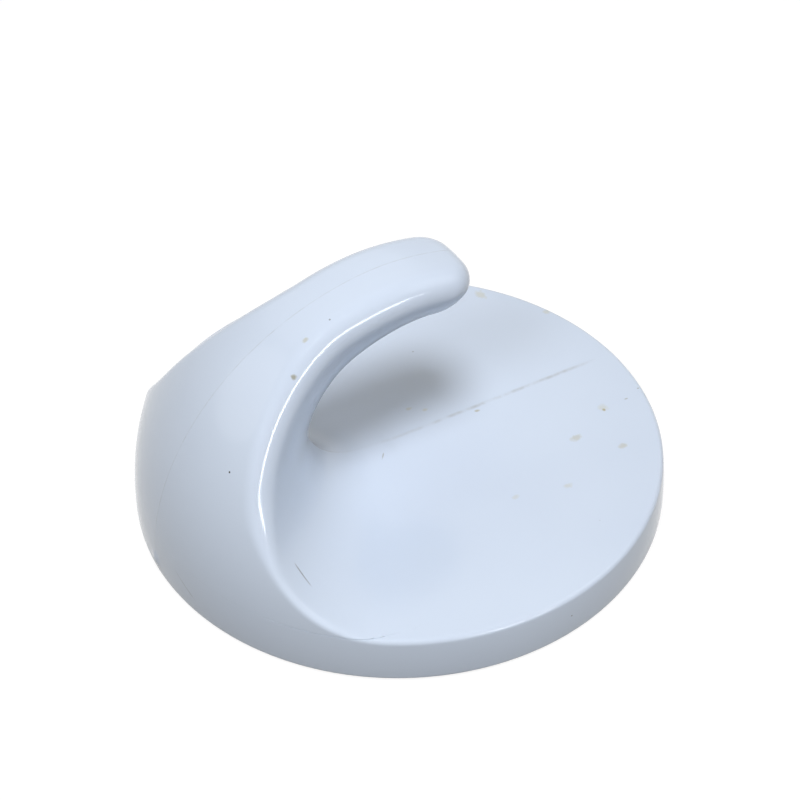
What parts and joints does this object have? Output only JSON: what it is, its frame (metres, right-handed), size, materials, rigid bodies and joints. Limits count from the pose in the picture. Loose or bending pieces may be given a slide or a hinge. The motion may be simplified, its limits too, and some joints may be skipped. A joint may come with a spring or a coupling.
{
  "type": "adhesive wall hook",
  "caption": "Round dome-shaped adhesive wall hook: a one-piece moulded base and rounded finger, held to the wall by a foam tape pad with a peel-off liner.",
  "frame": {"origin": "centre of the back, on the release liner's outer face, which lies on the wall plane", "axes": "+Z straight out of the wall, +Y up the wall towards the finger's tip, +X to the right seen from the front"},
  "size_m": [0.05, 0.05, 0.025],
  "materials": {
    "hook_body": "glossy moulded white plastic",
    "hook_side_adhesive": "clear tacky adhesive film",
    "foam_core": "white closed-cell foam",
    "wall_side_adhesive": "clear tacky adhesive film",
    "release_liner": "siliconised paper release liner"
  },
  "bodies": {
    "root": {"hook_body": "hook_body", "hook_side_adhesive": "hook_side_adhesive", "foam_core": "foam_core", "wall_side_adhesive": "wall_side_adhesive", "release_liner": "release_liner"}
  },
  "joints": []
}
